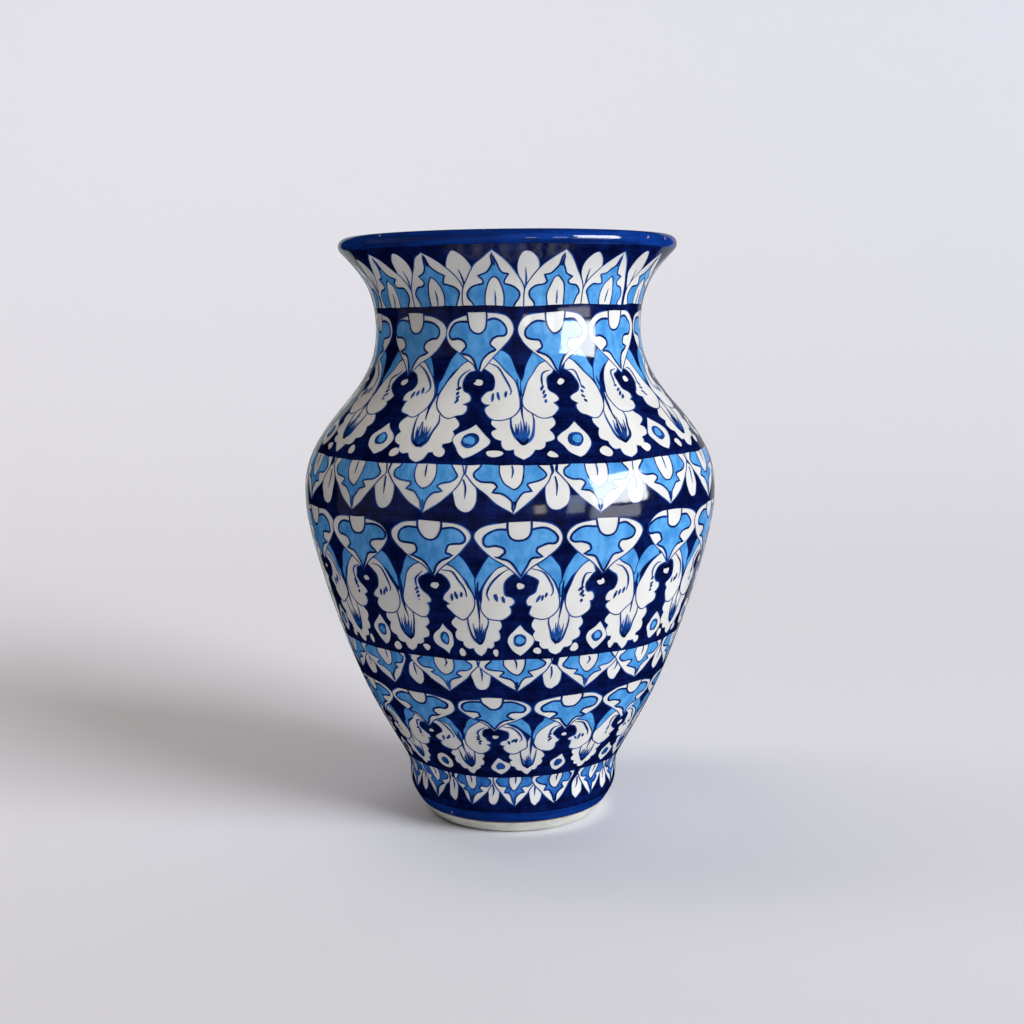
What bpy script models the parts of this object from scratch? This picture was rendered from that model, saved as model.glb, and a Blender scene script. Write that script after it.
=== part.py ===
"""A talavera vase: tin-glazed earthenware, thrown in sections that are luted one on another.

The clay is five pieces: a foot ring, a bowl with the floor, a shoulder section, a neck and a
rolled lip. Each meets the next in a lapped joint. Four coats of glaze are fired over them:
white outside, white inside, and cobalt blue on the lip and round the foot.

Metres, +Z up. The origin is the middle of the foot, on the surface the vase stands on.
"""

import math

import bmesh
import bpy
import numpy as np

# Height and radius of the glazed outline, from the foot to the lip
OUTLINE = (
    (0.000, 0.0440), (0.0075, 0.0500), (0.013, 0.0532), (0.020, 0.0549), (0.027, 0.0551),
    (0.037, 0.0593), (0.060, 0.0719), (0.100, 0.0886), (0.140, 0.1009), (0.173, 0.1060),
    (0.190, 0.1029), (0.210, 0.0904), (0.228, 0.0760), (0.244, 0.0690), (0.256, 0.0678),
    (0.268, 0.0691), (0.280, 0.0739), (0.290, 0.0818), (0.2932, 0.0849),
)
TOP = 0.300
SEGMENTS = 36  # flats round the vase
ROWS = 25  # rows of flats up the wall
STRAIGHT_SHARE = 1  # rows that straight stretches get, against those at bends

GAP = 0.0003  # between pieces that touch
GLAZE = 0.0007
CLAY = 0.006
CLAY_OUT = GLAZE + GAP  # depths below the glazed outline
CLAY_IN = CLAY_OUT + CLAY
LINING_OUT = CLAY_IN + GAP
LINING_IN = LINING_OUT + GLAZE
LAP_DEPTH = (CLAY_OUT + CLAY_IN) / 2
LAP = 0.004  # how far one section's tongue stands up inside the next

FOOT_TOP = 0.007  # bare clay below this
FOOT_INSIDE = 0.034
FOOT_TREAD = 0.0415  # outer edge of the flat it stands on
FOOT_EASE = 0.0006
RING_HEIGHTS = (0.0018, 0.0045, FOOT_TOP)  # rows of the ring's outer side
TONGUE_INSIDE = 0.0370
TONGUE_OUTSIDE = 0.0410
TONGUE = 0.002

FLOOR = 0.015  # top of the clay floor
FLOOR_CORNER = 0.008  # radius between floor and wall
FLOOR_CORNER_AT = 0.040  # how far out that corner starts
FLOOR_CORNER_TURN = (-90, -8)  # degrees round that corner, from the floor to the wall
FLOOR_CORNER_STEPS = 5
INSIDE_FROM = 0.0255  # where the inner wall rises from that corner

FOOT_BAND = (0.0083, 0.0156)  # heights on the outline that this coat covers
SHOULDER_JOINT = 0.172
NECK_JOINT = 0.236
LIP_JOINT = 0.279
OUTSIDE_COAT = (0.0162, 0.2927)
LINING_TOP = 0.2927

LIP_RADIUS = 0.004  # the glazed roll
LIP_AT = 0.0821  # distance of the roll's middle from the axis
LIP_FLARE = -45  # degrees round the roll, from straight out, where flare and glaze band meet
LIP_INSIDE = 130  # and where the band ends inside
LIP_STEPS = 10


def natural_spline(knots):
    """Second derivatives of the smooth curve through (x, y) knots, straight at both ends."""
    x, y = np.array(knots).T
    h = np.diff(x)
    middle = np.zeros((len(x), len(x)))
    right = np.zeros(len(x))
    middle[0, 0] = middle[-1, -1] = 1
    for i in range(1, len(x) - 1):
        middle[i, i - 1:i + 2] = h[i - 1], 2 * (h[i - 1] + h[i]), h[i]
        right[i] = 6 * ((y[i + 1] - y[i]) / h[i] - (y[i] - y[i - 1]) / h[i - 1])
    return np.linalg.solve(middle, right)


BENDS = natural_spline(OUTLINE)


def outline_at(z):
    """Radius of the glazed outline at height z, and how fast the radius grows there."""
    heights, radii = np.array(OUTLINE).T
    i = int(np.clip(np.searchsorted(heights, z) - 1, 0, len(heights) - 2))
    h = heights[i + 1] - heights[i]
    a = (heights[i + 1] - z) / h
    b = 1 - a
    radius = a * radii[i] + b * radii[i + 1]
    radius += ((a**3 - a) * BENDS[i] + (b**3 - b) * BENDS[i + 1]) * h * h / 6
    slope = (radii[i + 1] - radii[i]) / h
    slope += ((3 * b * b - 1) * BENDS[i + 1] - (3 * a * a - 1) * BENDS[i]) * h / 6
    return radius, slope


def under(z, depth):
    """The point (radius, height) at a depth square to the outline at height z."""
    radius, slope = outline_at(z)
    across = math.hypot(1, slope)
    return radius - depth / across, z + depth * slope / across


def bend_steps(count):
    """Heights up the outline, closer together where it bends more."""
    fine = np.linspace(FOOT_BAND[0], OUTSIDE_COAT[1], 600)
    bend = np.abs(np.interp(fine, np.array(OUTLINE)[:, 0], BENDS))
    effort = np.cumsum(np.sqrt(bend + STRAIGHT_SHARE))
    effort = (effort - effort[0]) / (effort[-1] - effort[0])
    return np.interp(np.linspace(0, 1, count), effort, fine)


def shared_heights():
    """The rows of every wall: all layers use the same ones, so their flats nest."""
    joints = (SHOULDER_JOINT, NECK_JOINT, LIP_JOINT)
    fixed = [FOOT_BAND[1], OUTSIDE_COAT[0]] + [z for joint in joints for z in (joint, joint + LAP)]
    clear = [z for z in bend_steps(ROWS) if min(abs(z - f) for f in fixed) > LAP / 2]
    return sorted(fixed + clear)


HEIGHTS = shared_heights()


def wall(low, high, depth):
    """Points up the wall at one depth, from one height of the outline to another."""
    between = [z for z in HEIGHTS if low + 2 * GAP < z < high - 2 * GAP]
    return [under(z, depth) for z in (low, *between, high)]


def arc(centre, radius, start, end, steps):
    """Points round an arc in the (radius, height) plane, angles in degrees."""
    turns = np.radians(np.linspace(start, end, steps))
    return [(centre[0] + radius * math.cos(t), centre[1] + radius * math.sin(t)) for t in turns]


def lap_top(joint):
    """The tongue on top of a section: a ledge outside and a step up inside."""
    inside_tongue = LAP_DEPTH + GAP / 2
    return [under(joint, inside_tongue), under(joint + LAP, inside_tongue)]


def lap_bottom(joint):
    """The rebate under the next section, from its inner end down and out."""
    outside_tongue = LAP_DEPTH - GAP / 2
    return [under(joint + LAP + GAP, outside_tongue), under(joint + GAP, outside_tongue)]


def hollow(clearance, high):
    """The vase's inside from the axis out over the floor and up the wall."""
    corner = (FLOOR_CORNER_AT, FLOOR + FLOOR_CORNER)
    round_part = arc(corner, FLOOR_CORNER - clearance, *FLOOR_CORNER_TURN, FLOOR_CORNER_STEPS)
    return [(0, FLOOR + clearance)] + round_part + wall(INSIDE_FROM, high, CLAY_IN + clearance)


def lip_roll(depth):
    """Points over the roll of the lip, from under its outer edge to its inner side."""
    middle = (LIP_AT, TOP - LIP_RADIUS)
    return arc(middle, LIP_RADIUS - depth, LIP_FLARE, LIP_INSIDE, LIP_STEPS)


def finish(colour, roughness, name):
    material = bpy.data.materials.new(name)
    material.use_nodes = True
    shader = material.node_tree.nodes["Principled BSDF"]
    shader.inputs["Base Color"].default_value = (*colour, 1)
    shader.inputs["Roughness"].default_value = roughness
    shader.inputs["Metallic"].default_value = 0
    material.diffuse_color = (*colour, 1)
    return material


def turn(name, section, material):
    """A turned piece: a section in the (radius, height) plane, spun round the axis."""
    mesh = bmesh.new()
    points = [mesh.verts.new((r, 0, z)) for r, z in section]
    touches_axis = section[0][0] == 0
    pairs = list(zip(points, points[1:], strict=False))
    if not touches_axis:
        pairs.append((points[-1], points[0]))
    edges = [mesh.edges.new(pair) for pair in pairs]
    bmesh.ops.spin(
        mesh, geom=points + edges, axis=(0, 0, 1), cent=(0, 0, 0),
        angle=math.tau, steps=SEGMENTS, use_merge=True,
    )
    bmesh.ops.remove_doubles(mesh, verts=mesh.verts, dist=1e-6)
    bmesh.ops.recalc_face_normals(mesh, faces=mesh.faces)
    data = bpy.data.meshes.new(name)
    mesh.to_mesh(data)
    mesh.free()
    data.materials.append(material)
    data.shade_smooth()
    data.set_sharp_from_angle(angle=math.radians(35))
    piece = bpy.data.objects.new(name, data)
    bpy.context.collection.objects.link(piece)
    return piece


def foot_ring():
    """The bare clay ring it stands on, with a tongue that keys into the bowl."""
    outside = [(outline_at(z)[0], z) for z in RING_HEIGHTS]
    tread = [
        (FOOT_INSIDE, FOOT_EASE), (FOOT_INSIDE + FOOT_EASE, 0), (FOOT_TREAD, 0),
        (outline_at(FOOT_EASE)[0] - FOOT_EASE / 2, FOOT_EASE),
    ]
    key = [
        (TONGUE_OUTSIDE, FOOT_TOP), (TONGUE_OUTSIDE, FOOT_TOP + TONGUE),
        (TONGUE_INSIDE, FOOT_TOP + TONGUE), (TONGUE_INSIDE, FOOT_TOP),
    ]
    return tread + outside + key + [(FOOT_INSIDE, FOOT_TOP)]


def bowl():
    """The lower half, from the floor to the widest part, with a groove for the foot ring."""
    under_side = FOOT_TOP + GAP
    groove_top = under_side + TONGUE
    groove = [
        (0, under_side), (TONGUE_INSIDE - GAP, under_side), (TONGUE_INSIDE - GAP, groove_top),
        (TONGUE_OUTSIDE + GAP, groove_top), (TONGUE_OUTSIDE + GAP, under_side),
        (under(FOOT_BAND[0], CLAY_OUT)[0] - GAP, under_side),
    ]
    outside = wall(FOOT_BAND[0], SHOULDER_JOINT, CLAY_OUT)
    return groove + outside + lap_top(SHOULDER_JOINT) + hollow(0, SHOULDER_JOINT + LAP)[::-1]


def section_between(low, high):
    """A thrown section with a rebate below and a tongue above."""
    outside = wall(low + GAP, high, CLAY_OUT)
    inside = wall(low + LAP + GAP, high + LAP, CLAY_IN)
    return outside + lap_top(high) + inside[::-1] + lap_bottom(low)


def lip():
    """The rolled lip, with a short stretch of the flare below it."""
    flare = wall(LIP_JOINT + GAP, OUTSIDE_COAT[1], CLAY_OUT)
    roll = lip_roll(CLAY_OUT)[1:]
    inside = wall(LIP_JOINT + LAP + GAP, LINING_TOP, CLAY_IN)
    return flare + roll + inside[::-1] + lap_bottom(LIP_JOINT)


def coat(low, high):
    """A skin of glaze on the outside of the wall."""
    return wall(low, high, 0) + wall(low, high, GLAZE)[::-1]


def lining():
    """The white glaze over the floor and up the inside."""
    outer_face = hollow(LINING_OUT - CLAY_IN, LINING_TOP)
    inner_face = hollow(LINING_IN - CLAY_IN, LINING_TOP)
    return outer_face + inner_face[::-1]


def lip_band():
    """The cobalt glaze over the roll of the lip."""
    return lip_roll(0) + lip_roll(GLAZE)[::-1]


for left_over in list(bpy.data.objects):
    bpy.data.objects.remove(left_over)

BARE_CLAY = finish((0.60, 0.55, 0.44), 0.75, "bare_clay")
BODY_CLAY = finish((0.58, 0.34, 0.22), 0.85, "body_clay")
WHITE = finish((0.80, 0.80, 0.76), 0.15, "white_glaze")
COBALT = finish((0.010, 0.040, 0.30), 0.12, "cobalt_glaze")

turn("foot_ring", foot_ring(), BARE_CLAY)
turn("bowl_section", bowl(), BODY_CLAY)
turn("shoulder_section", section_between(SHOULDER_JOINT, NECK_JOINT), BODY_CLAY)
turn("neck_section", section_between(NECK_JOINT, LIP_JOINT), BODY_CLAY)
turn("rolled_lip", lip(), BODY_CLAY)
turn("white_glaze_outside", coat(*OUTSIDE_COAT), WHITE)
turn("white_glaze_inside", lining(), WHITE)
turn("cobalt_glaze_foot", coat(*FOOT_BAND), COBALT)
turn("cobalt_glaze_lip", lip_band(), COBALT)
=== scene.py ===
"""A talavera vase, 300 mm tall: red earthenware under white tin glaze, painted in blues.

The sections follow the making: the clay, the white glaze, the plain cobalt bands, then the
painted belts from the lip down, and last the table, the lamps and the camera. Metres, +Z up.
The front of the vase faces -Y.
"""
import math
import random

import bmesh
import bpy
import numpy as np
from mathutils import Matrix, Vector, noise
from mathutils.geometry import delaunay_2d_cdt, interpolate_bezier


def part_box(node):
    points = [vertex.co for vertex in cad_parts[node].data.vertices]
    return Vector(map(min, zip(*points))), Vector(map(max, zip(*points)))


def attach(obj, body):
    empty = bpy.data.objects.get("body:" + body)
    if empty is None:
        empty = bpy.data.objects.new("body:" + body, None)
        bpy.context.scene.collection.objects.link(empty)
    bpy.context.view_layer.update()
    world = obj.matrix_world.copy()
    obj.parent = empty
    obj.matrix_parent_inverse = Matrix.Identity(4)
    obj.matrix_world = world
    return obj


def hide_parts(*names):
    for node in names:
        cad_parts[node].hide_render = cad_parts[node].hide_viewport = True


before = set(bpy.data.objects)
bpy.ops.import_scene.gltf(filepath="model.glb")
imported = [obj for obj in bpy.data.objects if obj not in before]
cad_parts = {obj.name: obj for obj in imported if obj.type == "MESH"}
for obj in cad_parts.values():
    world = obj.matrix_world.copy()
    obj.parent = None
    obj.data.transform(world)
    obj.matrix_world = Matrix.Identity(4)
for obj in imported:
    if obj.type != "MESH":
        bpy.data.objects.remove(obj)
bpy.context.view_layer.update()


# ---- Clay body -------------------------------------------------------------------------
# Red earthenware: a foot ring, a bowl, a shoulder, a neck and a rolled lip, each thrown on
# the wheel and luted to the one below with a lapped joint. Glaze hides all but the ring,
# which is washed with buff slip and wiped clean where the vase stands.

OUTLINE = (  # height and radius of the glazed outline
    (0.000, 0.0440), (0.0075, 0.0500), (0.013, 0.0532), (0.020, 0.0549), (0.027, 0.0551),
    (0.037, 0.0593), (0.060, 0.0719), (0.100, 0.0886), (0.140, 0.1009), (0.173, 0.1060),
    (0.190, 0.1029), (0.210, 0.0904), (0.228, 0.0760), (0.244, 0.0690), (0.256, 0.0678),
    (0.268, 0.0691), (0.280, 0.0739), (0.290, 0.0818), (0.2932, 0.0849),
)
GAP = 0.0003  # between pieces that touch
GLAZE = 0.0007
CLAY_OUT = GLAZE + GAP  # depths below the glazed outline
CLAY_IN = CLAY_OUT + 0.006
LAP_DEPTH = (CLAY_OUT + CLAY_IN) / 2
LAP = 0.004
FOOT_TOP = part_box("foot_ring")[1].z - 0.002  # the ring's tongue stands 2 mm into the bowl
SHOULDER_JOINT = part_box("bowl_section")[1].z - LAP
NECK_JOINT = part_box("shoulder_section")[1].z - LAP
LIP_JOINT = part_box("neck_section")[1].z - LAP
ROW = 0.003  # height of a row of faces up a hidden wall
CLAY_SEGMENTS = 128
SHARP = math.radians(40)  # faces that meet at more than this keep a crisp edge
WELD = 1e-6  # points closer than this become one


def spline_bends(knots):
    """Second derivatives of the smooth curve through the knots, straight at both ends."""
    x, y = np.array(knots).T
    h = np.diff(x)
    middle = np.eye(len(x))
    right = np.zeros(len(x))
    for i in range(1, len(x) - 1):
        middle[i, i - 1:i + 2] = h[i - 1], 2 * (h[i - 1] + h[i]), h[i]
        right[i] = 6 * ((y[i + 1] - y[i]) / h[i] - (y[i] - y[i - 1]) / h[i - 1])
    return np.linalg.solve(middle, right)


def fine_outline(step=0.0001):
    """Height, radius, slope and length along the outline, every tenth of a millimetre."""
    knots, radii = np.array(OUTLINE).T
    bends = spline_bends(OUTLINE)
    height = np.arange(0, knots[-1] + step / 2, step)
    i = np.clip(np.searchsorted(knots, height) - 1, 0, len(knots) - 2)
    h = knots[i + 1] - knots[i]
    a = (knots[i + 1] - height) / h
    b = 1 - a
    radius = a * radii[i] + b * radii[i + 1]
    radius += ((a**3 - a) * bends[i] + (b**3 - b) * bends[i + 1]) * h * h / 6
    slope = np.gradient(radius, height)
    run = np.hypot(np.diff(radius), np.diff(height))
    return height, radius, slope, np.concatenate([[0], np.cumsum(run)])


HEIGHTS, RADII, SLOPES, LENGTHS = fine_outline()


def under(z, depth):
    """The point (radius, height) at a depth square to the outline at height z."""
    slope = np.interp(z, HEIGHTS, SLOPES)
    across = math.hypot(1, slope)
    return np.interp(z, HEIGHTS, RADII) - depth / across, z + depth * slope / across


def wall(low, high, depth, row=ROW):
    rows = max(2, round((high - low) / row) + 1)
    return [under(z, depth) for z in np.linspace(low, high, rows)]


def arc(centre, radius, start, end, steps):
    """Points round an arc in the (radius, height) plane, angles in degrees."""
    turns = np.radians(np.linspace(start, end, steps))
    return [(centre[0] + radius * math.cos(t), centre[1] + radius * math.sin(t)) for t in turns]


def lap_top(joint):
    inside_tongue = LAP_DEPTH + GAP / 2
    return [under(joint, inside_tongue), under(joint + LAP, inside_tongue)]


def lap_bottom(joint):
    outside_tongue = LAP_DEPTH - GAP / 2
    return [under(joint + LAP + GAP, outside_tongue), under(joint + GAP, outside_tongue)]


def hollow(clearance, high):
    """The vase's inside, from the axis out over the floor and up the wall."""
    floor, corner_radius, corner_at, corner_end, inside_from = 0.015, 0.008, 0.040, -8, 0.0255
    corner = (corner_at, floor + corner_radius)
    round_part = arc(corner, corner_radius - clearance, -90, corner_end, 9)
    return [(0, floor + clearance)] + round_part + wall(inside_from, high, CLAY_IN + clearance)


LIP_RADIUS = 0.004
LIP_MIDDLE = (0.0821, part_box("cobalt_glaze_lip")[1].z - LIP_RADIUS)
LIP_FLARE = -45  # degrees round the roll where it springs from the flare outside
LIP_INSIDE = 130  # and where it meets the lining
OUTLINE_TOP = OUTLINE[-1][0]  # where the outline meets the roll
CLAY_TOP = OUTLINE_TOP - 0.0001
LINING_TOP = 0.2929  # where the lining stops under the roll, as a height on the outline


def lip_roll(depth, steps=25):
    """Points over the roll of the lip, from under its outer edge to its inner side."""
    return arc(LIP_MIDDLE, LIP_RADIUS - depth, LIP_FLARE, LIP_INSIDE, steps)


def turn(name, section, segments, material):
    """A turned piece: a section in the (radius, height) plane, spun round the axis."""
    shape = bmesh.new()
    points = [shape.verts.new((r, 0, z)) for r, z in section]
    pairs = list(zip(points, points[1:]))
    if section[0][0] > 0:
        pairs.append((points[-1], points[0]))
    edges = [shape.edges.new(pair) for pair in pairs]
    bmesh.ops.spin(
        shape, geom=points + edges, axis=(0, 0, 1), cent=(0, 0, 0),
        angle=math.tau, steps=segments, use_merge=True,
    )
    bmesh.ops.remove_doubles(shape, verts=shape.verts, dist=WELD)
    bmesh.ops.recalc_face_normals(shape, faces=shape.faces)
    mesh = bpy.data.meshes.new(name)
    shape.to_mesh(mesh)
    shape.free()
    mesh.materials.append(material)
    mesh.shade_smooth()
    mesh.set_sharp_from_angle(angle=SHARP)
    piece = bpy.data.objects.new(name, mesh)
    bpy.context.collection.objects.link(piece)
    return piece


def new_group(name, inputs, outputs):
    """An empty shader group: inputs are (name, socket type, value), outputs are (name, type)."""
    group = bpy.data.node_groups.new(name, "ShaderNodeTree")
    for label, kind, value in inputs:
        socket = group.interface.new_socket(label, in_out="INPUT", socket_type=kind)
        socket.default_value = value
    for label, kind in outputs:
        group.interface.new_socket(label, in_out="OUTPUT", socket_type=kind)
    return group, group.nodes.new("NodeGroupInput"), group.nodes.new("NodeGroupOutput")


def node(tree, kind, values=None, links=None, **settings):
    """A node with its settings, its sockets' plain values and the links that feed it."""
    made = tree.nodes.new(kind)
    for setting, value in settings.items():
        setattr(made, setting, value)
    for socket, value in (values or {}).items():
        made.inputs[socket].default_value = value
    for socket, source in (links or {}).items():
        tree.links.new(source, made.inputs[socket])
    return made


def noise_at(tree, scale, stretch=(1, 1, 1), detail=3.0, roughness=0.5, place=(0, 0, 0)):
    """Noise on object coordinates, scale in bumps per metre, stretched along each axis."""
    where = node(tree, "ShaderNodeTexCoord")
    mapped = node(tree, "ShaderNodeMapping", {"Scale": stretch, "Location": place},
                  {"Vector": where.outputs["Object"]})
    made = node(tree, "ShaderNodeTexNoise",
                {"Scale": scale, "Detail": detail, "Roughness": roughness},
                {"Vector": mapped.outputs["Vector"]})
    return made.outputs["Fac"]


def between(tree, mask, low, high, first, second):
    """Blends two colours or sockets as the mask goes from low to high."""
    share = node(tree, "ShaderNodeMapRange", {"From Min": low, "From Max": high}, {"Value": mask},
                 interpolation_type="SMOOTHSTEP").outputs["Result"]
    mix = node(tree, "ShaderNodeMix", data_type="RGBA")
    tree.links.new(share, mix.inputs["Factor"])
    for socket, colour in (("A", first), ("B", second)):
        target = next(s for s in mix.inputs if s.name == socket and s.type == "RGBA")
        if isinstance(colour, tuple):
            target.default_value = (*colour, 1)
        else:
            tree.links.new(colour, target)
    return next(s for s in mix.outputs if s.type == "RGBA")


def scaled(tree, value, factor):
    return node(tree, "ShaderNodeMath", {1: factor}, {0: value},
                operation="MULTIPLY").outputs["Value"]


def new_finish(name, roughness, specular=0.5):
    material = bpy.data.materials.new(name)
    material.use_nodes = True
    shader = material.node_tree.nodes["Principled BSDF"]
    shader.inputs["Roughness"].default_value = roughness
    shader.inputs["Specular IOR Level"].default_value = specular
    return material, material.node_tree, shader


def feed_height(tree, shader, height):
    """Relief in metres, as bump on the shader's normal."""
    bump = node(tree, "ShaderNodeBump", {"Strength": 1.0, "Distance": 1.0}, {"Height": height})
    tree.links.new(bump.outputs["Normal"], shader.inputs["Normal"])


def earthenware(name, pale, deep, grit, relief):
    """Fired clay: mottled, with grit showing and faint rings from the turning tool."""
    material, tree, shader = new_finish(name, 0.8, 0.3)
    mottle = noise_at(tree, 90, detail=5)
    specks = noise_at(tree, 1400, detail=2)
    colour = between(tree, mottle, 0.35, 0.65, deep, pale)
    colour = between(tree, specks, 0.66, 0.72, colour, grit)
    tree.links.new(colour, shader.inputs["Base Color"])
    rings = noise_at(tree, 1, stretch=(12, 12, 900), detail=2)
    grain = noise_at(tree, 1900, detail=3)
    height = node(tree, "ShaderNodeMath", links={0: scaled(tree, rings, relief),
                                                 1: scaled(tree, grain, relief / 2)})
    feed_height(tree, shader, height.outputs["Value"])
    return material


BUFF_SLIP = earthenware("buff_slip", pale=(0.80, 0.785, 0.70), deep=(0.66, 0.645, 0.55),
                        grit=(0.34, 0.28, 0.20), relief=0.00012)
RED_CLAY = earthenware("red_earthenware", pale=(0.56, 0.30, 0.19), deep=(0.44, 0.22, 0.13),
                       grit=(0.20, 0.11, 0.07), relief=0.0003)


def foot_ring_section():
    foot_inside, tread_edge, ease, round_edge = 0.034, 0.0415, 0.0006, 0.0012
    tongue_inside, tongue_outside, tongue_top = 0.037, 0.041, FOOT_TOP + 0.002
    outer_ease = arc((tread_edge, round_edge), round_edge, -90, -20, 5)
    outside = [(np.interp(z, HEIGHTS, RADII), z) for z in np.linspace(round_edge, FOOT_TOP, 8)]
    return [
        (foot_inside, ease), (foot_inside + ease / 3, ease / 3), (foot_inside + ease, 0),
        *outer_ease, *outside, (tongue_outside, FOOT_TOP), (tongue_outside, tongue_top),
        (tongue_inside, tongue_top), (tongue_inside, FOOT_TOP), (foot_inside, FOOT_TOP),
    ]


FOOT_BAND = tuple(corner.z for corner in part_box("cobalt_glaze_foot"))


def bowl_section():
    under_side = FOOT_TOP + GAP
    groove_in, groove_out, groove_top = 0.0367, 0.0413, under_side + 0.002
    groove = [
        (0, under_side), (groove_in, under_side), (groove_in, groove_top), (groove_out, groove_top),
        (groove_out, under_side), (under(FOOT_BAND[0], CLAY_OUT)[0] - GAP, under_side),
    ]
    outside = wall(FOOT_BAND[0], SHOULDER_JOINT, CLAY_OUT)
    return groove + outside + lap_top(SHOULDER_JOINT) + hollow(0, SHOULDER_JOINT + LAP)[::-1]


def section_between(low, high):
    outside = wall(low + GAP, high, CLAY_OUT)
    inside = wall(low + LAP + GAP, high + LAP, CLAY_IN)
    return outside + lap_top(high) + inside[::-1] + lap_bottom(low)


def lip_section():
    flare = wall(LIP_JOINT + GAP, CLAY_TOP, CLAY_OUT)
    inside = wall(LIP_JOINT + LAP + GAP, LINING_TOP, CLAY_IN)
    return flare + lip_roll(CLAY_OUT)[1:] + inside[::-1] + lap_bottom(LIP_JOINT)


for name, section, material, slot in (
    ("foot_ring", foot_ring_section(), BUFF_SLIP, "bare_clay"),
    ("bowl_section", bowl_section(), RED_CLAY, "body_clay"),
    ("shoulder_section", section_between(SHOULDER_JOINT, NECK_JOINT), RED_CLAY, "body_clay"),
    ("neck_section", section_between(NECK_JOINT, LIP_JOINT), RED_CLAY, "body_clay"),
    ("rolled_lip", lip_section(), RED_CLAY, "body_clay"),
):
    clay = turn(f"{name}_turned", section, CLAY_SEGMENTS, material)
    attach(clay, "root")
    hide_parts(name)


# ---- White tin glaze -------------------------------------------------------------------
# The whole body is dipped in white tin glaze before it is painted. It fires to a warm white,
# thick and glossy, a little uneven over the throwing rings, with a few iron specks.

GLAZE_SEGMENTS = 240


def glaze_skin_group():
    """The relief and gloss of the fired surface, shared by the glaze and the paint in it."""
    group, given, result = new_group(
        "fired_glaze_skin",
        (("Waves", "NodeSocketFloat", 0.00016), ("Ripples", "NodeSocketFloat", 0.00004),
         ("Rings", "NodeSocketFloat", 0.00003),
         ("Orange Peel", "NodeSocketFloat", 0.000004), ("Gloss", "NodeSocketFloat", 0.09)),
        (("Height", "NodeSocketFloat"), ("Roughness", "NodeSocketFloat")),
    )
    total = None
    for label, source in (
        ("Waves", noise_at(group, 38, detail=2)),
        ("Ripples", noise_at(group, 170, detail=1.5, place=(2, 5, 1))),
        ("Rings", noise_at(group, 1, stretch=(14, 14, 260), detail=1.5)),
        ("Orange Peel", noise_at(group, 700, detail=2)),
    ):
        part = node(group, "ShaderNodeMath", links={0: source, 1: given.outputs[label]},
                    operation="MULTIPLY").outputs["Value"]
        total = part if total is None else node(
            group, "ShaderNodeMath", links={0: total, 1: part}).outputs["Value"]
    smears = noise_at(group, 60, stretch=(1, 1, 2), detail=4)
    rough = node(group, "ShaderNodeMath", {1: 0.07}, {0: smears, 2: given.outputs["Gloss"]},
                 operation="MULTIPLY_ADD").outputs["Value"]
    group.links.new(total, result.inputs["Height"])
    group.links.new(rough, result.inputs["Roughness"])
    return group


GLAZE_SKIN = glaze_skin_group()


def glossy(tree, shader, gloss=0.06):
    """Gives a glaze or a paint its fired surface."""
    skin = tree.nodes.new("ShaderNodeGroup")
    skin.node_tree = GLAZE_SKIN
    skin.inputs["Gloss"].default_value = gloss
    feed_height(tree, shader, skin.outputs["Height"])
    tree.links.new(skin.outputs["Roughness"], shader.inputs["Roughness"])


def tin_glaze():
    material, tree, shader = new_finish("white_tin_glaze", 0.1)
    clouds = noise_at(tree, 45, detail=4)
    specks = noise_at(tree, 900, detail=1, place=(3, 1, 2))
    colour = between(tree, clouds, 0.3, 0.7, (0.745, 0.725, 0.675), (0.82, 0.805, 0.765))
    colour = between(tree, specks, 0.76, 0.80, colour, (0.42, 0.40, 0.38))
    tree.links.new(colour, shader.inputs["Base Color"])
    glossy(tree, shader)
    return material


WHITE_GLAZE = tin_glaze()
COAT_BOTTOM = FOOT_BAND[1] + 0.0001
COAT_TOP = CLAY_TOP - 0.0004  # short of the lip band, under the paint
LINING_EDGE = 0.0006  # how far the lining's glazed face runs past its hidden one


def coat(low, high):
    """A skin of glaze on the outside of the wall, with rounded ends."""
    ends = [under(low - GLAZE / 6, GLAZE / 2)], [under(high + GLAZE / 8, GLAZE / 2)]
    return ends[0] + wall(low, high, 0, 0.002) + ends[1] + wall(low, high, GLAZE, 0.004)[::-1]


def lining():
    bare, glazed = GAP, GAP + GLAZE
    return hollow(bare, LINING_TOP) + hollow(glazed, LINING_TOP + LINING_EDGE)[::-1]


for name, section, node_name in (
    ("white_glaze_coat", coat(COAT_BOTTOM, COAT_TOP), "white_glaze_outside"),
    ("white_glaze_lining", lining(), "white_glaze_inside"),
):
    glaze = turn(name, section, GLAZE_SEGMENTS, WHITE_GLAZE)
    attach(glaze, "root")
    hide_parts(node_name)


# ---- Plain cobalt bands ----------------------------------------------------------------
# The rolled lip and a band round the foot are brushed with a thin, bright cobalt glaze while
# the vase turns on the wheel. It breaks to a darker blue where it pools under the roll.


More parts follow.
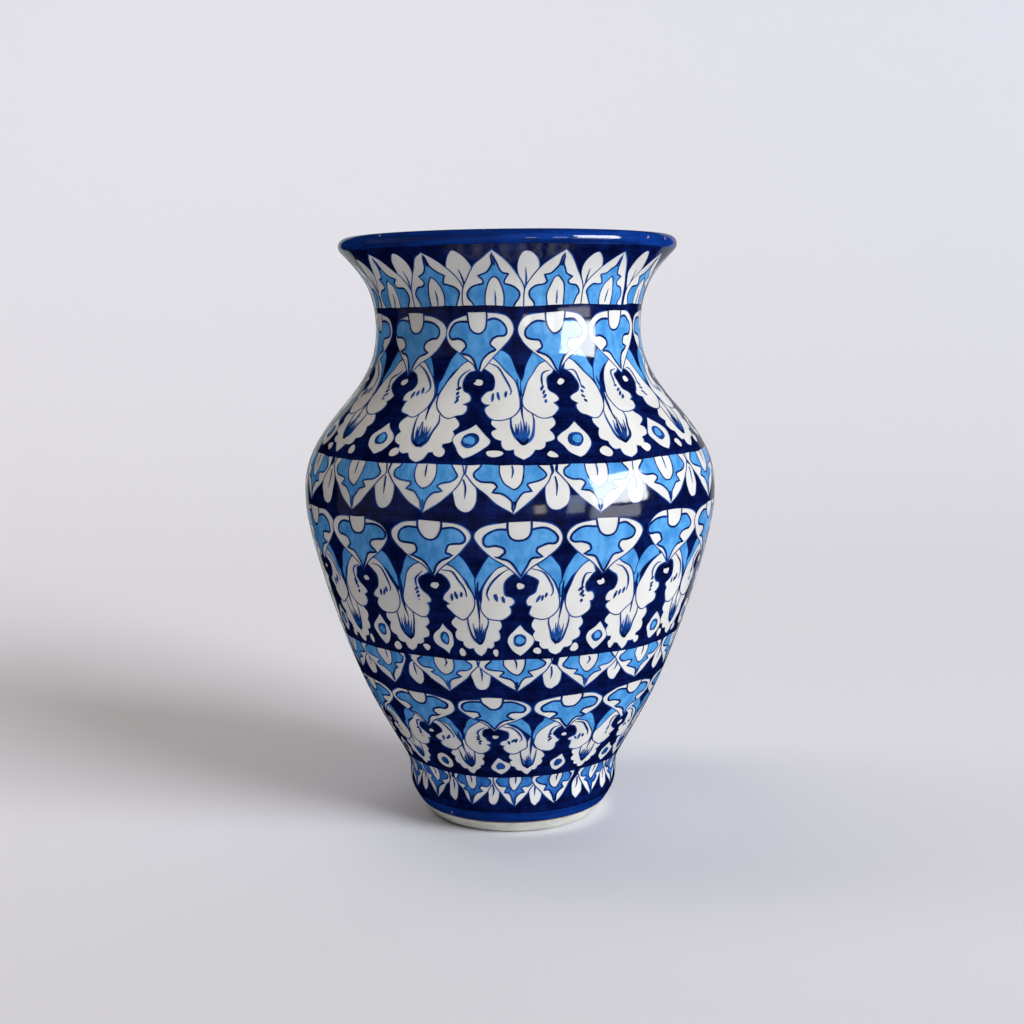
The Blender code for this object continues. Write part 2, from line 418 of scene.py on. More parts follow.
def brushed_wash_group():
    """Streaky colour laid on with a soft brush while the vase turns."""
    group, given, result = new_group(
        "brushed_wash",
        (("Thin", "NodeSocketColor", (0.1, 0.3, 0.7, 1)),
         ("Full", "NodeSocketColor", (0, 0, 0.2, 1)), ("Streaks", "NodeSocketFloat", 0.5),
         ("Low", "NodeSocketFloat", 0.4), ("High", "NodeSocketFloat", 0.6)),
        (("Color", "NodeSocketColor"),),
    )
    streaks = noise_at(group, 1, stretch=(22, 22, 330), detail=4, roughness=0.6)
    pools = noise_at(group, 170, stretch=(1, 1, 0.6), detail=5, roughness=0.62, place=(1, 4, 2))
    mixed = node(group, "ShaderNodeMix", data_type="FLOAT", links={
        0: given.outputs["Streaks"], 2: pools, 3: streaks})
    share = node(group, "ShaderNodeMapRange", links={
        "Value": mixed.outputs[0], "From Min": given.outputs["Low"],
        "From Max": given.outputs["High"],
    }, interpolation_type="SMOOTHSTEP").outputs["Result"]
    mix = node(group, "ShaderNodeMix", data_type="RGBA")
    colours = [s for s in mix.inputs if s.type == "RGBA"]
    group.links.new(share, mix.inputs["Factor"])
    group.links.new(given.outputs["Full"], colours[0])
    group.links.new(given.outputs["Thin"], colours[1])
    group.links.new(next(s for s in mix.outputs if s.type == "RGBA"), result.inputs["Color"])
    return group


BRUSHED_WASH = brushed_wash_group()


def blue(name, thin, full, streaks, low=0.40, high=0.62, chips=None):
    """A blue in the glaze, from its thin colour to its full one, chipped here and there."""
    material, tree, shader = new_finish(name, 0.1)
    wash = tree.nodes.new("ShaderNodeGroup")
    wash.node_tree = BRUSHED_WASH
    for label, value in (("Streaks", streaks), ("Thin", (*thin, 1)), ("Full", (*full, 1)),
                         ("Low", low), ("High", high)):
        wash.inputs[label].default_value = value
    colour = wash.outputs["Color"]
    if chips:
        flakes = noise_at(tree, 210, detail=1, place=(5, 2, 3))
        colour = between(tree, flakes, 0.775, 0.79, colour, chips)
    tree.links.new(colour, shader.inputs["Base Color"])
    glossy(tree, shader, gloss=0.05)
    return material


BRIGHT_COBALT = blue("bright_cobalt_glaze", (0.004, 0.042, 0.27), (0.003, 0.018, 0.125), 0.7,
                     chips=(0.50, 0.29, 0.20))
FOOT_BAND_HEM = 0.0006  # how far the foot band runs down over the bare ring

for name, section, node_name in (
    ("cobalt_lip_band", lip_roll(0, 33) + lip_roll(GLAZE, 17)[::-1], "cobalt_glaze_lip"),
    ("cobalt_foot_band", coat(FOOT_BAND[0] - FOOT_BAND_HEM, FOOT_BAND[1]), "cobalt_glaze_foot"),
):
    band = turn(name, section, GLAZE_SEGMENTS, BRIGHT_COBALT)
    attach(band, "root")
    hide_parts(node_name)


# ---- Painted belts: ground and brushes ---------------------------------------------------
# Seven belts are painted freehand on the raw white glaze: a sky-blue or deeper wash, a mid
# and a dark blue liner for borders and veins, and a dark cobalt ground round the motifs. The
# paint sinks into the glaze and fires flat with it. White is glaze left bare.

PAINT_TOP = 0.00011  # height of the paint film over the glazed outline
PAINT_FILM = 0.00008
PAINT_TOPMOST = OUTLINE_TOP  # the ground runs on to the lip band
PAINT_LOWEST = FOOT_BAND[1] - 0.0022  # and laps over the top of the foot band
GRID_TURN = math.radians(1.9)  # widest and tallest patches of the film, so it follows the wall
GRID_RISE = 0.0026
DRAWN_STEP = 0.0010  # length of the steps along a drawn line
CORNER = 1  # third value of a point where the brush turns sharply

WHITE, SKY, DEEP, LINE, EDGE, DARK = range(6)
PAINTS = {
    SKY: ("sky_wash", "sky_blue_paint",
          blue("sky_blue_wash", (0.125, 0.41, 0.80), (0.055, 0.27, 0.63), 0.12, 0.36, 0.64)),
    DEEP: ("deep_wash", "sky_blue_paint",
           blue("deep_blue_wash", (0.055, 0.25, 0.64), (0.012, 0.085, 0.37), 0.12, 0.36, 0.64)),
    LINE: ("liner_strokes", "cobalt_paint",
           blue("mid_blue_liner", (0.018, 0.095, 0.37), (0.004, 0.028, 0.16), 0.1)),
    EDGE: ("edge_strokes", "cobalt_paint",
           blue("dark_blue_liner", (0.007, 0.040, 0.23), (0.002, 0.012, 0.095), 0.1)),
    DARK: ("cobalt_ground", "cobalt_paint",
           blue("dark_cobalt_ground", (0.004, 0.015, 0.120), (0.0015, 0.0035, 0.032), 0.45,
                high=0.70)),
}


def mirrored(half):
    """A whole outline from its right half, which starts and ends on the middle line."""
    return (*half, *((-p[0], *p[1:]) for p in half[::-1] if p[0] != 0))


def drawn(points, closed):
    """Points every step along the smooth line through the given ones."""
    at = [Vector(p[:2]) for p in points]
    sharp = [len(p) > 2 for p in points]
    if not closed:
        sharp[0] = sharp[-1] = True
    count = len(at)
    line = []
    for i in range(count if closed else count - 1):
        j = (i + 1) % count
        chord = at[j] - at[i]
        reach = chord.length / 3
        leave = chord if sharp[i] else at[j] - at[i - 1]
        arrive = chord if sharp[j] else at[(j + 1) % count] - at[i]
        steps = max(2, math.ceil(chord.length / DRAWN_STEP) + 1)
        line += interpolate_bezier(
            at[i], at[i] + leave.normalized() * reach, at[j] - arrive.normalized() * reach,
            at[j], steps)[:-1]
    return line if closed else line + [at[-1]]


def sideways(line, i, closed):
    """The unit vector to the left of a line at its point i, longer at a sharp turn."""
    before = line[i - 1] if closed or i > 0 else line[i]
    after = line[(i + 1) % len(line)] if closed or i < len(line) - 1 else line[i]
    arriving, leaving = line[i] - before, after - line[i]
    left = [Vector((-d.y, d.x)).normalized() for d in (arriving, leaving) if d.length > 1e-7]
    middle = sum(left, Vector((0, 0)))
    if middle.length < 1e-6:
        return left[0]
    middle.normalize()
    return middle / max(0.7, middle.dot(left[0]))


def area(line):
    return sum(a.x * b.y - b.x * a.y for a, b in zip(line, line[1:] + line[:1])) / 2


def anticlockwise(line):
    return line if area(line) > 0 else line[::-1]


def grown(line, by):
    """A closed line moved outwards."""
    line = anticlockwise(line)
    return [point - sideways(line, i, True) * by for i, point in enumerate(line)]


def ribbon(line, widths):
    """The outline of a brush stroke, its width going through the given values on the way."""
    marks = np.linspace(0, 1, len(widths))
    sides = [], []
    for i, point in enumerate(line):
        half = np.interp(i / (len(line) - 1), marks, widths) / 2
        left = sideways(line, i, False) * half
        sides[0].append(point + left)
        sides[1].append(point - left)
    return sides[0] + sides[1][::-1]


class Belt:
    """One painted belt laid out flat: x runs round the vase from the first motif, y up the wall.

    Motifs are given as (u, v): shares of the pitch, and of the height between the plain
    ground left below and above them.
    """

    def __init__(self, name, low, high, repeats, first, plain=(0, 0)):
        self.name, self.repeats, self.first = name, repeats, math.radians(first)
        self.foot, top = np.interp((low, high), HEIGHTS, LENGTHS)
        self.height = top - self.foot
        self.base = plain[0] * self.height
        self.tall = (1 - sum(plain)) * self.height
        inside = (HEIGHTS >= low) & (HEIGHTS <= high)
        self.width = math.tau * RADII[inside].mean()
        self.pitch = self.width / repeats
        self.shapes = []

    def at(self, u, v):
        return Vector((u * self.pitch, self.base + v * self.tall))

    def each(self, offset=0.0):
        """Every repeat, and one more past each end so that the seam is painted over."""
        return [k + offset for k in range(-1, self.repeats + 1)]

    def hand(self, k, what, shift=0.0004, lean=1.6, size=0.025, wobble=0.00022, lopsided=0.05):
        """How one motif lands: a little aside, leaning, large or small, its points wobbly."""
        chance = random.Random(f"{self.name} {what} {k % self.repeats:.1f}")
        middle = Vector((k * self.pitch + chance.gauss(0, shift), chance.gauss(0, shift / 2)))
        turned = Matrix.Rotation(math.radians(chance.gauss(0, lean)), 2)
        scale = 1 + chance.gauss(0, size)
        fuller_right = chance.gauss(0, lopsided)

        def place(points, about=(0, 0.5)):
            anchor = self.at(*about)
            for u, v, *sharp in points:
                flat = self.at(u + abs(u) * fuller_right, v)
                nudge = Vector((chance.gauss(0, wobble), chance.gauss(0, wobble)))
                flat = turned @ ((flat - anchor) * scale) + anchor + middle + nudge
                yield (*flat, *sharp)

        return place, chance

    def fill(self, line, paint):
        line = anticlockwise(line)
        lowest = min(range(len(line)), key=lambda i: line[i].y)
        self.shapes.append((paint, line[lowest:] + line[:lowest]))

    def shape(self, place, points, paint, border=None, by=0.0, about=(0, 0.5)):
        """A closed motif, with a border of another paint round it."""
        line = drawn(list(place(points, about)), True)
        if border is not None:
            self.fill(grown(line, by), border)
        self.fill(line, paint)

    def stroke(self, place, points, widths, paint):
        self.fill(ribbon(drawn(list(place(points)), False), widths), paint)

    def dot(self, place, u, v, across, tall, paint, chance=None, corners=8):
        """A dab sized in shares of the pitch and height; chance makes it uneven."""
        ring = []
        for t in range(corners):
            turn_to, reach = math.tau * t / corners, 1
            if chance:
                turn_to += chance.uniform(-0.3, 0.3)
                reach = chance.uniform(0.72, 1.22)
            ring.append((u + reach * across * math.cos(turn_to),
                         v + reach * tall * math.sin(turn_to)))
        self.shape(place, ring, paint, about=(u, v))

    def grid(self):
        columns = self.repeats * math.ceil(math.tau / self.repeats / GRID_TURN)
        rows = math.ceil(self.height / GRID_RISE)
        points = [Vector((self.width * i / columns - self.pitch / 2, self.height * j / rows))
                  for j in range(rows + 1) for i in range(columns + 1)]
        across = columns + 1
        return points, [(j * across + i, j * across + i + 1, (j + 1) * across + i + 1,
                         (j + 1) * across + i) for j in range(rows) for i in range(columns)]

    def cut_out(self):
        """Triangles of the belt, each with the paint that was laid over it last."""
        points, faces = self.grid()
        ground = len(faces)
        for _, line in self.shapes:
            faces.append(tuple(range(len(points), len(points) + len(line))))
            points += line
        flat, _, triangles, _, _, covers = delaunay_2d_cdt(points, [], faces, 1, WELD, True)
        paints = [DARK] * ground + [paint for paint, _ in self.shapes]
        kept = [(t, paints[max(c)]) for t, c in zip(triangles, covers) if c and min(c) < ground]
        return np.array([tuple(p) for p in flat]), kept

    def on_the_wall(self, flat):
        """Places of flat points on the vase, with the slow drift of a hand and brush."""
        radius_at = np.interp(self.foot + flat[:, 1], LENGTHS, RADII)
        angle = self.first + flat[:, 0] / self.width * math.tau
        along = self.foot + flat[:, 1]
        height_at = np.interp(along, LENGTHS, HEIGHTS)
        held = drift_allowed(height_at)
        around = np.column_stack([radius_at * np.sin(angle), -radius_at * np.cos(angle), height_at])
        drift = np.array([hand_drift(p) for p in around]) * held[:, None]
        angle = angle + drift[:, 0] / radius_at
        along = along + drift[:, 1]
        z = np.interp(along, LENGTHS, HEIGHTS)
        slope = np.interp(z, HEIGHTS, SLOPES)
        out = 1 / np.hypot(1, slope)
        radius = np.interp(z, HEIGHTS, RADII) + PAINT_TOP * out
        return np.column_stack([radius * np.sin(angle), -radius * np.cos(angle),
                                z - PAINT_TOP * slope * out])

    def lay(self):
        """Makes the belt's pieces, one for each paint."""
        flat, kept = self.cut_out()
        places = self.on_the_wall(flat)
        for paint, (label, slot, material) in PAINTS.items():
            piece = paint_film(f"{self.name}_{label}", places,
                               [t for t, p in kept if p == paint], material)
            if piece:
                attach(piece, "root")


def drift_allowed(z, low=0.0150, high=0.2890, over=0.006):
    """0 at the top and bottom of the painting, where it meets the bands, and 1 between."""
    rise = np.clip((z - low) / over, 0, 1) * np.clip((high - z) / over, 0, 1)
    return rise * rise * (3 - 2 * rise)


noise.seed_set(3)  # noise starts from the clock unless it is given a seed


def hand_drift(place):
    """How far the painting strays sideways and upwards near a point of the wall."""
    slow_span, slow_reach, quick_span, quick_reach = 0.030, 0.0011, 0.007, 0.00035
    slow = noise.noise_vector(Vector(place) / slow_span) * slow_reach
    quick = noise.noise_vector(Vector(place) / quick_span + Vector((7, 3, 1))) * quick_reach
    return slow.x + quick.x, slow.z + quick.z


def wall_normals(points):
    slope = np.interp(points[:, 2], HEIGHTS, SLOPES)
    radius = np.hypot(points[:, 0], points[:, 1])
    normal = np.column_stack([points[:, 0] / radius, points[:, 1] / radius, -slope])
    return normal / np.linalg.norm(normal, axis=1)[:, None]


def paint_film(name, places, triangles, material):
    """A closed thin film over the given triangles, lit as one smooth wall.

    Its under side and rim are built face by face, because solidify breaks on sliver triangles.
    """
    if not triangles:
        return None
    sheet = bmesh.new()
    verts = {i: sheet.verts.new(places[i]) for i in sorted({i for t in triangles for i in t})}
    for a, b, c in triangles:
        sheet.faces.new((verts[a], verts[b], verts[c]))
    bmesh.ops.remove_doubles(sheet, verts=sheet.verts, dist=WELD)
    sheet.verts.index_update()
    top = np.array([tuple(v.co) for v in sheet.verts])
    faces = [tuple(v.index for v in face.verts) for face in sheet.faces]
    rims = [e.link_loops[0] for e in sheet.edges if len(e.link_loops) == 1]
    rims = [(loop.vert.index, loop.link_loop_next.vert.index) for loop in rims]
    sheet.free()
    below = len(top)
    points = np.vstack([top, top - wall_normals(top) * PAINT_FILM])
    faces += [tuple(i + below for i in face[::-1]) for face in faces]
    faces += [(b, a, a + below, b + below) for a, b in rims]
    mesh = bpy.data.meshes.new(name)
    mesh.from_pydata(points.tolist(), [], faces)
    mesh.materials.append(material)
    mesh.shade_smooth()
    light_as_wall(mesh)
    piece = bpy.data.objects.new(name, mesh)
    bpy.context.collection.objects.link(piece)
    return piece


def light_as_wall(mesh):
    """Normals of the wall itself on the film's broad faces, and flat ones on its thin edge."""
    broad = 0.6  # a face is broad if it faces this far along the wall's normal
    co = np.empty(len(mesh.vertices) * 3)
    mesh.vertices.foreach_get("co", co)
    wall_normal = wall_normals(co.reshape(-1, 3))
    loop_vertex = np.empty(len(mesh.loops), int)
    mesh.loops.foreach_get("vertex_index", loop_vertex)
    totals = np.empty(len(mesh.polygons), int)
    mesh.polygons.foreach_get("loop_total", totals)
    flat_normal = np.empty(len(mesh.polygons) * 3)
    mesh.polygons.foreach_get("normal", flat_normal)
    flat_normal = np.repeat(flat_normal.reshape(-1, 3), totals, axis=0)
    smooth = wall_normal[loop_vertex]
    facing = (smooth * flat_normal).sum(axis=1)
    lit = smooth * np.sign(facing)[:, None]
    mesh.normals_split_custom_set(np.where((np.abs(facing) > broad)[:, None], lit, flat_normal))


# ---- Leaf belts ------------------------------------------------------------------------
# White leaves with a blue heart: one belt stands up like a crown below the lip, and three
# hang under the belts of flowers. A small plain leaf shows between each two large ones.

LEAF = mirrored((
    (0, 1.05, CORNER), (0.46, 1.05, CORNER), (0.49, 0.82, CORNER), (0.405, 0.62), (0.31, 0.46),
    (0.18, 0.25), (0, 0.03, CORNER)))
CROWN_LEAF = mirrored((
    (0, 1.05, CORNER), (0.485, 1.05, CORNER), (0.475, 0.72), (0.40, 0.53), (0.25, 0.30),
    (0.12, 0.12), (0, 0, CORNER)))
SMALL_LEAF = mirrored((
    (0, 1.05, CORNER), (0.04, 1.05, CORNER), (0.008, 0.82), (0.065, 0.72), (0.118, 0.55),
    (0.125, 0.38), (0.105, 0.22), (0.055, 0.115), (0, 0.09)))
CROWN_SMALL_LEAF = mirrored((
    (0, 0.80, CORNER), (0.055, 0.66), (0.12, 0.50), (0.165, 0.35), (0.13, 0.18),
    (0.06, 0.05), (0, 0.01)))
LEAF_HEART = mirrored((
    (0, 1.05, CORNER), (0.30, 1.05, CORNER), (0.33, 0.93), (0.385, 0.835), (0.395, 0.765),
    (0.33, 0.685), (0.225, 0.660), (0.165, 0.625), (0.155, 0.565), (0.205, 0.487, CORNER),
    (0.125, 0.45), (0.06, 0.37), (0.020, 0.27), (0, 0.10, CORNER)))
LEAF_TEAR = mirrored((
    (0, 1.05, CORNER), (0.125, 1.05, CORNER), (0.135, 0.82), (0.095, 0.64), (0.04, 0.54),
    (0, 0.51, CORNER)))


def paint_leaves(belt, upright=False, wash=SKY):
    """Large leaves over small ones; upright turns the belt over."""
    leaf, small = (CROWN_LEAF, CROWN_SMALL_LEAF) if upright else (LEAF, SMALL_LEAF)

    def way(points):
        return [(u, 1 - v, *sharp) for u, v, *sharp in points] if upright else points

    for k in belt.each(0.5):
        place, _ = belt.hand(k, "small leaf", size=0.05, lopsided=0.1)
        belt.shape(place, way(small), WHITE, LINE, 0.0004)
        belt.stroke(place, way(((0, 0.72), (0.01, 0.55), (0, 0.36))),
                    (0.0008, 0.0010, 0.0003), LINE)
    for k in belt.each():
        place, chance = belt.hand(k, "leaf", lopsided=0.07)
        belt.shape(place, way(leaf), WHITE, LINE, 0.0006)
        liner = chance.choice((LINE, EDGE))
        belt.shape(place, way(LEAF_HEART), wash, liner, 0.0009)
        belt.stroke(place, way(((0, 0.30), (0.01, 0.18), (0, 0.05))),
                    (0.0012, 0.0009, 0.0003), liner)
        belt.shape(place, way(LEAF_TEAR), WHITE, liner, 0.0007)
        belt.stroke(place, way(((0, 0.97), (0.01, 0.85), (0, 0.72))),
                    (0.0007, 0.0009, 0.0003), LINE)
    line, past = (0.03, -0.5) if upright else (0.965, 1.5)  # the dark line that trims the leaves
    end = belt.repeats + 1
    belt.fill([belt.at(u, v) for u, v in ((-1, line), (end, line), (end, past), (-1, past))],
              DARK)
    belt.lay()


# ---- Flower belts ----------------------------------------------------------------------
# Each repeat is a white medallion with a blue lily, hung on blue ribbons over a pair of
# white wings with an eye between them. Palmettes hang where the ribbons meet, with a
# lozenge and small dots in between.

MEDALLION_HALF = (
    (0, 0.968), (0.28, 0.957), (0.42, 0.925), (0.482, 0.872), (0.445, 0.815), (0.30, 0.737),
    (0.13, 0.672))  # each belt sets its own tip
LILY = mirrored((
    (0, 0.90), (0.12, 0.915), (0.25, 0.92), (0.345, 0.90), (0.392, 0.865), (0.37, 0.836),
    (0.29, 0.83), (0.20, 0.818), (0.165, 0.79), (0.168, 0.762), (0.225, 0.742, CORNER),
    (0.12, 0.722), (0.05, 0.68), (0, 0.622, CORNER)))
TONGUE = mirrored(((0, 1.0), (0.125, 1.0, CORNER), (0.12, 0.93), (0.08, 0.875), (0, 0.855)))
RIBBON = (
    (0.20, 0.735, CORNER), (0.30, 0.745), (0.38, 0.705), (0.44, 0.645), (0.482, 0.585),
    (0.505, 0.545, CORNER), (0.505, 0.46, CORNER), (0.455, 0.525), (0.375, 0.592),
    (0.27, 0.648), (0.15, 0.675, CORNER))
WING = (
    (0.05, 0.628, CORNER), (0.11, 0.685), (0.21, 0.672), (0.325, 0.615), (0.41, 0.54),
    (0.46, 0.455), (0.452, 0.385), (0.395, 0.335), (0.30, 0.305), (0.20, 0.312), (0.13, 0.345),
    (0.115, 0.378), (0.142, 0.405, CORNER), (0.095, 0.415), (0.072, 0.44), (0.105, 0.468),
    (0.165, 0.487), (0.195, 0.53), (0.175, 0.58), (0.11, 0.612))
WING_ARCS = (
    ((0.12, 0.655), (0.23, 0.632), (0.32, 0.575), (0.37, 0.50), (0.355, 0.462)),
    ((0.12, 0.625), (0.205, 0.605), (0.245, 0.56), (0.235, 0.50)))
WING_TICKS = (
    (((0.205, 0.472), (0.190, 0.425)), ((0.258, 0.482), (0.246, 0.438)),
     ((0.310, 0.492), (0.300, 0.452))),
    (((0.225, 0.520), (0.265, 0.497)), ((0.215, 0.490), (0.258, 0.468)),
     ((0.212, 0.460), (0.250, 0.440)), ((0.220, 0.432), (0.245, 0.412))))
PALMETTE = mirrored((
    (0, 0.50, CORNER), (0.022, 0.455), (0.05, 0.40), (0.12, 0.358), (0.205, 0.338),
    (0.29, 0.302), (0.328, 0.258), (0.268, 0.216, CORNER), (0.298, 0.190), (0.286, 0.150),
    (0.210, 0.128, CORNER), (0.205, 0.100), (0.155, 0.078), (0.098, 0.078, CORNER),
    (0.065, 0.045), (0, 0.020, CORNER)))
PALMETTE_HEART = mirrored((
    (0, 0.17), (0.03, 0.185, CORNER), (0.058, 0.182), (0.042, 0.145), (0, 0.120)))
PALMETTE_RIB = ((0.0, 0.115), (0.065, 0.150), (0.108, 0.220), (0.125, 0.280), (0.118, 0.335))
LOZENGE = mirrored((
    (0, 0.258, CORNER), (0.06, 0.222), (0.130, 0.180), (0.155, 0.145), (0.125, 0.102),
    (0.065, 0.062), (0, 0.038, CORNER)))


def flipped(points, side):
    """The points on the given side, 1 or -1, or made narrower by a share."""
    return [(u * side, *rest) for u, *rest in points]


def paint_flowers(belt, tip=0.602, eye=0.545, palmette_wide=1.0, dots=(0.27, -0.27),
                  ring=SKY):
    """The belt in the order it is painted, so that later motifs lie over earlier ones."""
    for k in belt.each(0.5):
        place, chance = belt.hand(k, "palmette", lopsided=0.08)
        belt.shape(place, flipped(PALMETTE, palmette_wide), WHITE, LINE, 0.0003)
        belt.shape(place, PALMETTE_HEART, LINE)
        for aside in (-0.068, -0.042, -0.014, 0.014, 0.040, 0.068):
            top = 0.285 - abs(aside) * 0.6 + chance.uniform(-0.03, 0.03)
            belt.stroke(place, ((aside * 0.4, 0.145), (aside * 0.9, 0.20), (aside * 1.05, top)),
                        (0.0013, 0.0010, 0.0002), LINE)
        for side in (-1, 1):
            belt.stroke(place, flipped(PALMETTE_RIB, side),
                        (0.0016, 0.0014, 0.0010, 0.0008, 0.0003), LINE)
        belt.stroke(place, ((-0.05, 0.150), (0, 0.118), (0.05, 0.150)),
                    (0.0006, 0.0015, 0.0006), DARK)
    for k in belt.each():
        for side in (-1, 1):
            place, _ = belt.hand(k, f"ribbon {side}", wobble=0.0003)
            belt.shape(place, flipped(RIBBON, side), SKY, EDGE, 0.0006)
    for k in belt.each(0.5):
        place, _ = belt.hand(k, "vein", shift=0.0003)
        belt.stroke(place, ((0, 0.575), (0.004, 0.45), (-0.004, 0.36), (0, 0.275)),
                    (0.0006, 0.0016, 0.0013, 0.0004), EDGE)
    for k in belt.each():
        for side in (-1, 1):
            place, chance = belt.hand(k, f"wing {side}", wobble=0.0004, lopsided=0.03)
            belt.shape(place, flipped(WING, side), WHITE, LINE, 0.0006)
            combed = int(chance.random() < (0.85 if side < 0 else 0.15))
            belt.stroke(place, flipped(WING_ARCS[combed], side),
                        (0.0003, 0.0009, 0.0011, 0.0004), LINE)
            for tick in WING_TICKS[combed]:
                belt.stroke(place, flipped(tick, side), (0.0008, 0.0016, 0.0006), LINE)
    for k in belt.each():
        place, _ = belt.hand(k, "medallion")
        medallion = mirrored(MEDALLION_HALF + ((0, tip, CORNER),))
        belt.shape(place, medallion, WHITE, LINE, 0.0006, about=(0, 0.8))
        place, chance = belt.hand(k, "lily", shift=0.0003, lean=1.0)
        spur = chance.choice((-1, 1))
        belt.stroke(place, flipped(((0.18, 0.748), (0.245, 0.735), (0.275, 0.745)), spur),
                    (0.0012, 0.0010, 0.0002), EDGE)
        belt.shape(place, LILY, SKY, EDGE, 0.0011, about=(0, 0.8))
        belt.shape(place, TONGUE, WHITE, EDGE, 0.0010, about=(0, 0.9))
        line, past, half = 0.972, 1.2, 0.3  # the dark line that trims the tongue
        belt.fill([belt.at(k + u, v) for u, v in (
            (-half, line), (half, line), (half, past), (-half, past))], DARK)
    for k in belt.each():
        place, chance = belt.hand(k, "eye", lean=8)
        belt.dot(place, 0, eye, 0.055, 0.021, WHITE, chance, 7)
        place, chance = belt.hand(k, "seed", shift=0.0006, lean=6, size=0.06, lopsided=0.1)
        aside, middle = 0.03, 0.148
        if chance.random() < 0.15:
            belt.dot(place, aside, middle, 0.155, 0.098, WHITE)
        else:
            belt.shape(place, [(u + aside, v, *sharp) for u, v, *sharp in LOZENGE], WHITE, LINE,
                       0.0003, about=(aside, middle))
        belt.dot(place, aside, middle, 0.078, 0.048, LINE)
        belt.dot(place, aside, middle, 0.045, 0.028, ring)
        for u in dots:
            place, chance = belt.hand(k, f"dot {u}", shift=0.0009, lean=4)
            belt.dot(place, u, 0.058, 0.060, 0.030, WHITE, chance, 5)
    belt.lay()


# ---- The seven belts, from the lip down ------------------------------------------------
# Heights come from the vase's own turns: a crown in the flare, flowers on the neck, the
# widest part and the foot, and a row of hanging leaves under each. After its heights, a belt
# has its number of motifs and the degrees that the first stands to the right of the front.

LINES = (PAINT_LOWEST, 0.0345, 0.0822, 0.1020, 0.1712, 0.1950, 0.2650, PAINT_TOPMOST)
foot, lower, waist, belly, shoulder, neck, crown = zip(LINES, LINES[1:])

paint_leaves(Belt("crown_leaves", *crown, 15, -5.0, (0, 0.125)), upright=True)
paint_flowers(Belt("neck_flowers", *neck, 12, -11.3))
paint_leaves(Belt("shoulder_leaves", *shoulder, 16, 0.3, (0.02, 0)))
paint_flowers(Belt("belly_flowers", *belly, 16, 2.2), eye=0.54)
paint_leaves(Belt("waist_leaves", *waist, 16, 1.3, (0.08, 0)))
paint_flowers(Belt("lower_flowers", *lower, 13, -6.9), tip=0.585, eye=0.51,
              palmette_wide=0.85, dots=(), ring=LINE)
paint_leaves(Belt("foot_leaves", *foot, 16, 0.8, (0.18, 0)), wash=DEEP)


# ---- Table, lamps and camera -----------------------------------------------------------
# A pale seamless sheet that sweeps up behind the vase, soft light from a window to the right,
# from above and on the backdrop, and plain glowing panels that only the glaze mirrors.


def sweep_table():
    """A sheet of paper that lies flat under the vase and curves up behind it."""
    shape = bmesh.new()
    half, front, back, bend, top = 4.0, -3.0, 3.0, 2.4, 4.0
    profile = [(front, 0), (back - bend, 0)]
    profile += [(back - bend + bend * math.sin(t), bend - bend * math.cos(t))
                for t in np.linspace(0, math.pi / 2, 25)[1:]]
    profile.append((back, top))
    points = [shape.verts.new((-half, y, z)) for y, z in profile]
    edges = [shape.edges.new(pair) for pair in zip(points, points[1:])]
    swept = bmesh.ops.extrude_edge_only(shape, edges=edges)
    moved = [v for v in swept["geom"] if isinstance(v, bmesh.types.BMVert)]
    bmesh.ops.translate(shape, verts=moved, vec=(2 * half, 0, 0))
    bmesh.ops.recalc_face_normals(shape, faces=shape.faces)
    mesh = bpy.data.meshes.new("table")
    shape.to_mesh(mesh)
    shape.free()
    mesh.shade_smooth()
    table = bpy.data.objects.new("table", mesh)
    bpy.context.collection.objects.link(table)
    material, _, shader = new_finish("table_paper", 0.9, 0.1)
    shader.inputs["Base Color"].default_value = (0.80, 0.80, 0.84, 1)
    mesh.materials.append(material)
    return table


table = sweep_table()
table.visible_glossy = False


def lamp(name, azimuth, elevation, distance, width, height, power, colour, aim=(0, 0, 0.16)):
    """A flat lamp that faces its aim; azimuth turns from the front to the right."""
    a, e = math.radians(azimuth), math.radians(elevation)
    way = Vector((math.sin(a) * math.cos(e), -math.cos(a) * math.cos(e), math.sin(e)))
    data = bpy.data.lights.new(name, "AREA")
    data.shape = "RECTANGLE"
    data.size, data.size_y = width, height
    data.energy = power
    data.color = colour
    light = bpy.data.objects.new(name, data)
    light.location = Vector(aim) + way * distance
    light.rotation_euler = way.to_track_quat("Z", "Y").to_euler()
    bpy.context.collection.objects.link(light)
    return light


def unseen(light, glossy=True, diffuse=True):
    """Hides a lamp from the camera, and from reflections or from matt surfaces too."""
    light.visible_glossy = glossy
    light.visible_diffuse = diffuse
    light.visible_camera = False


PANEL_AWAY = 1.6

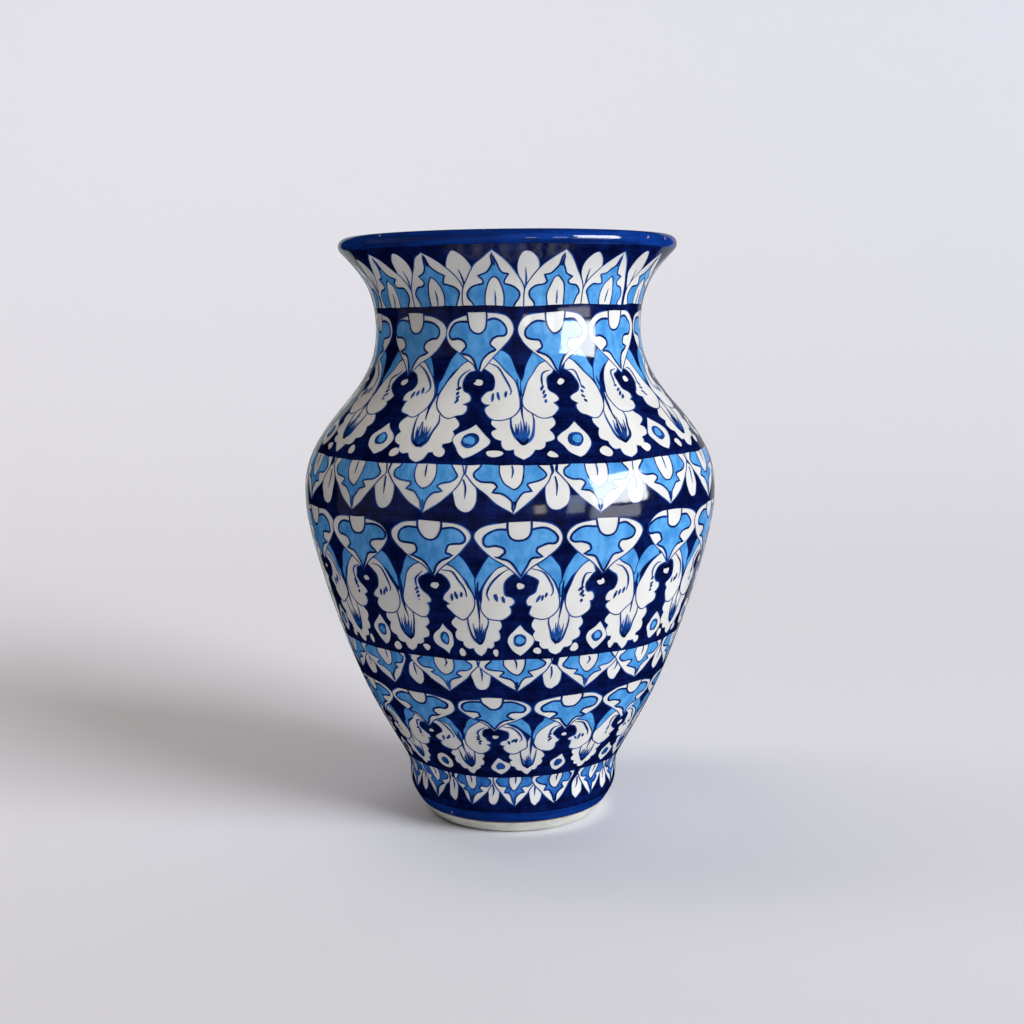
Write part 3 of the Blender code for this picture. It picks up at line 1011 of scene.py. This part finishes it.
# Reflected only: azimuth, elevation, width, height, brightness and colour.
for name, azimuth, elevation, width, height, bright, colour in (
    ("window", 61, 13, 0.92, 0.76, 20, (0.93, 0.98, 1.0)),
    ("window_sill", 57, -7, 0.84, 0.22, 4, (0.95, 0.95, 0.92)),
    ("far_window", 34, 1, 0.24, 0.40, 4, (0.80, 0.91, 1.0)),
    ("shelf_lamp", 15, -2, 0.16, 0.22, 5, (1.0, 0.90, 0.68)),
    ("room_left", -78, 8, 1.7, 1.2, 0.11, (1.0, 0.86, 0.74)),
    ("room_front", -8, 6, 2.7, 2.4, 0.07, (1.0, 0.82, 0.70)),
    ("back_left", -165, 4, 0.9, 1.4, 0.45, (0.92, 1.0, 0.95)),
    ("back_right", 160, 4, 0.8, 1.4, 0.35, (0.95, 0.98, 1.0)),
):
    power = bright * math.pi * width * height
    panel = lamp(name, azimuth, elevation, PANEL_AWAY, width, height, power, colour)
    unseen(panel, diffuse=False)

# Not reflected: these light the clay, the paint and the table evenly.
unseen(lamp("soft_window", 56, 23, 6.5, 3.3, 3.3, 520, (0.90, 0.94, 1.0)), glossy=False)
unseen(lamp("soft_ceiling", 0, 84, 2.6, 3.0, 3.0, 13.5, (1.0, 0.77, 0.55)), glossy=False)
backdrop_wash = lamp("backdrop_wash", 180, 79, 2.4, 3.6, 1.2, 39, (1.0, 0.96, 0.95),
                     aim=(-2.0, 0, 0.16))
away_from_backdrop = Vector((0, -0.62, 0.78))
backdrop_wash.rotation_euler = away_from_backdrop.to_track_quat("Z", "Y").to_euler()
unseen(backdrop_wash, glossy=False)

world = bpy.data.worlds.new("room")  # seen past the edge of the sheet, and lights nothing
world.use_nodes = True
world_background = world.node_tree.nodes["Background"]
world_background.inputs["Color"].default_value = (0.66, 0.65, 0.69, 1)
world_background.inputs["Strength"].default_value = 1.0
world.cycles_visibility.glossy = False
world.cycles_visibility.diffuse = False
bpy.context.scene.world = world
bpy.context.scene.view_settings.view_transform = "Standard"

CAMERA_AT = (0, -0.72, 0.2611)
LOOKS_DOWN = 8.09  # degrees, as are the next two
LEANS = 0.64
VIEW_WIDE = 40.60
camera_data = bpy.data.cameras.new("camera")
camera_data.sensor_width = 36
camera_data.angle = math.radians(VIEW_WIDE)
camera_data.shift_x = 0.0017
camera_data.clip_start = 0.01
camera = bpy.data.objects.new("camera", camera_data)
camera.matrix_world = (
    Matrix.Translation(CAMERA_AT) @ Matrix.Rotation(math.radians(90 - LOOKS_DOWN), 4, "X")
    @ Matrix.Rotation(math.radians(-LEANS), 4, "Z")
)
bpy.context.collection.objects.link(camera)
bpy.context.scene.camera = camera
